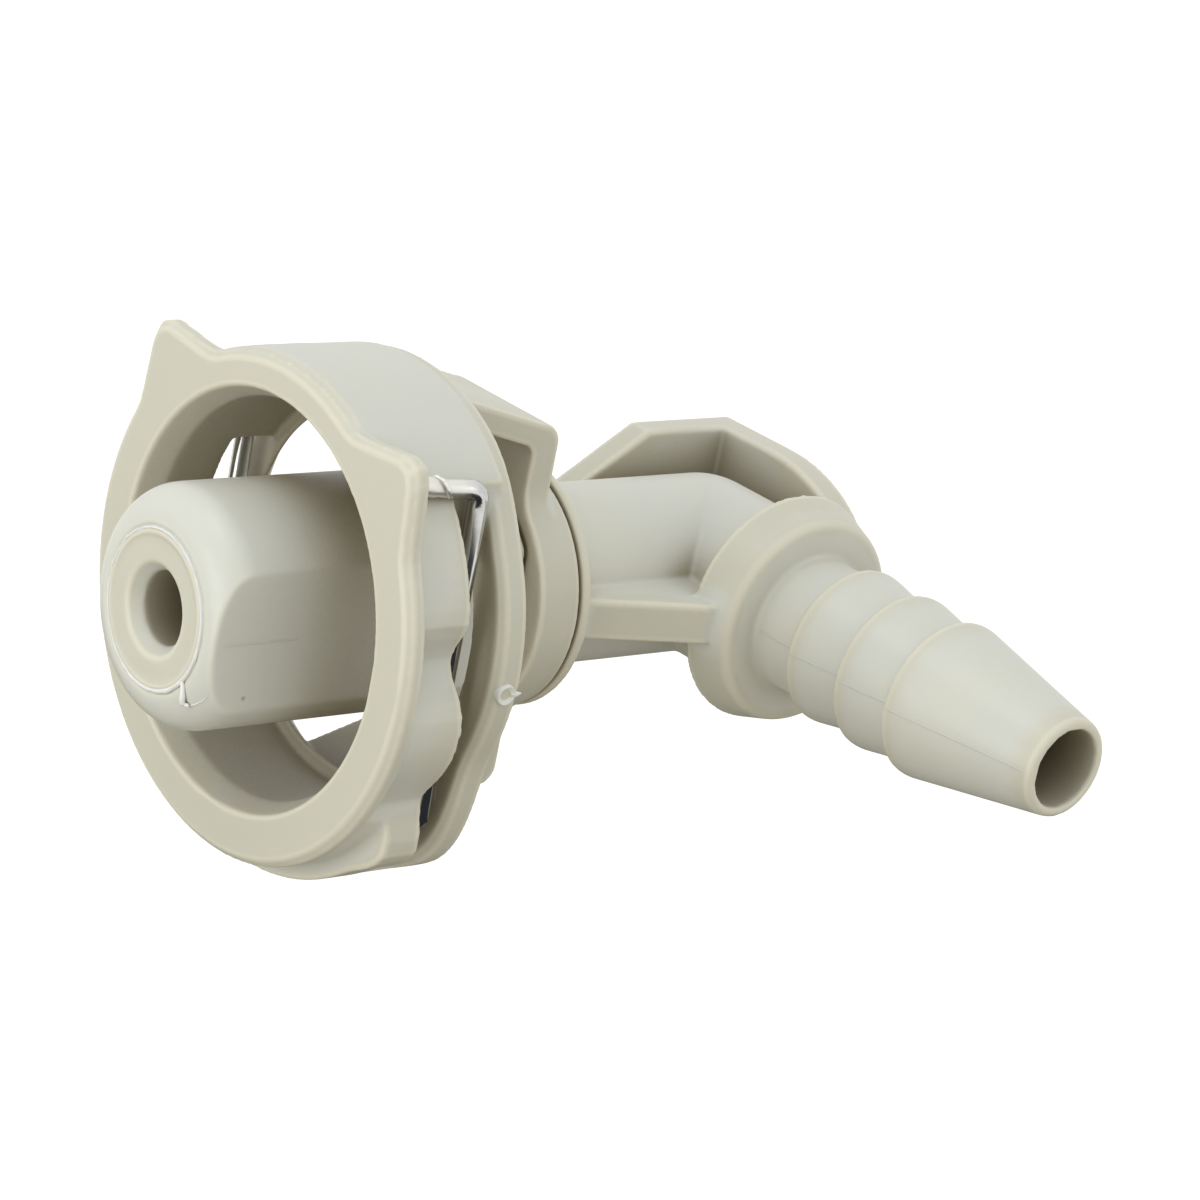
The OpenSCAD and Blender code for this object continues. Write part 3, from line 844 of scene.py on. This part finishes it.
# %% Parting lines on the cage
WEB_COUNT = 30
LIP_COUNT = 6
LIP_ANGLE = 166
web_starts = [polar(x, FAR, angle)
              for x, angle in zip(steps(0.4, 8.9, WEB_COUNT), steps(-17, -24, WEB_COUNT))]
web_points = dropped(cage, web_starts, [(0, -v.y, -v.z) for v in web_starts], LINE_SINK)
thread("web_line", web_points, LINE_R, cage_plastic, "cage")
lip_starts = [polar(-3, r, LIP_ANGLE) for r in steps(14.3, 15.6, LIP_COUNT)]
lip_points = dropped(cage, lip_starts, [(1, 0, 0)] * LIP_COUNT, LINE_SINK)
thread("lip_line", lip_points, LINE_R, cage_plastic, "cage")

# %% [markdown]
# ## Gate nub
# The cage was filled through a gate on the flange's rim. When the sprue broke off, it left a small
# raised nub with a pit in it, and a thin spike of drawn plastic beside it. A cone with an inset top
# makes the nub: the inset face sinks to the pit, and the pit's faces take a second plastic that is
# browner and darker, as painted shade in the pit.


# %% Gate nub helper
NUB_SIDES = 28
NUB_FLARE = 1.15
PIT_INSET = 0.42
PIT_SINK = 0.75
NUB_ROUNDING = 0.12
SHARP = 0.6
PIT_WITHIN = 0.52
PIT_ABOVE = -0.5


def gate_nub(name, place, outwards, radius, height):
    """A short round nub with a pit, on a surface that faces outwards."""
    nub = bmesh.new()
    bmesh.ops.create_cone(nub, cap_ends=True, segments=NUB_SIDES, radius1=radius * NUB_FLARE * MM,
                          radius2=radius * MM, depth=2 * height * MM)
    top = max(nub.faces, key=lambda face: face.calc_center_median().z)
    bmesh.ops.inset_region(nub, faces=[top], thickness=PIT_INSET * radius * MM, depth=0)
    bmesh.ops.translate(nub, verts=top.verts, vec=(0, 0, -PIT_SINK * height * MM))
    bmesh.ops.bevel(nub, geom=[edge for edge in nub.edges if edge.calc_face_angle(0) > SHARP],
                    offset=NUB_ROUNDING * radius * MM, segments=2, profile=0.5, affect="EDGES",
                    material=-1)
    for face in nub.faces:
        centre = face.calc_center_median()
        inside = math.hypot(centre.x, centre.y) < PIT_WITHIN * radius * MM
        # The pit's faces take the browner plastic, as painted shade in the pit.
        face.material_index = 1 if inside and centre.z > PIT_ABOVE * height * MM else 0
    turn = Vector(outwards).to_track_quat("Z", "Y").to_matrix().to_4x4()
    bmesh.ops.transform(nub, verts=nub.verts, matrix=Matrix.Translation(Vector(place) * MM) @ turn)
    mesh = bpy.data.meshes.new(name)
    nub.to_mesh(mesh)
    nub.free()
    mesh.shade_smooth()
    mesh.materials.append(weld_plastic)
    mesh.materials.append(pit_shade_plastic)
    piece = bpy.data.objects.new(name, mesh)
    bpy.context.scene.collection.objects.link(piece)
    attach(piece, "cage")
    print(name, "at", [round(v, 1) for v in place])


print("helper: gate_nub")

# %% Gate nub and spike
GATE_X = 9.9
GATE_ANGLE = 94.2
NUB_R = 0.66
NUB_HEIGHT = 0.32
SPIKE_R = 0.24
SPIKE = [(0.45, 0, 0), (0.8, -0.16, 0), (1.15, -0.2, 0.04)]
SPIKE_WIDTHS = [1, 0.8, 0.25]
outwards = polar(0, 1, GATE_ANGLE)
rim = dropped(cage, [polar(GATE_X, FAR, GATE_ANGLE)], [-outwards], 0)[0]
gate_nub("gate_nub", rim, outwards, NUB_R, NUB_HEIGHT)
spike = [rim + Vector(step) for step in SPIKE]
thread("gate_spike", spike, SPIKE_R, weld_plastic, "cage", SPIKE_WIDTHS)
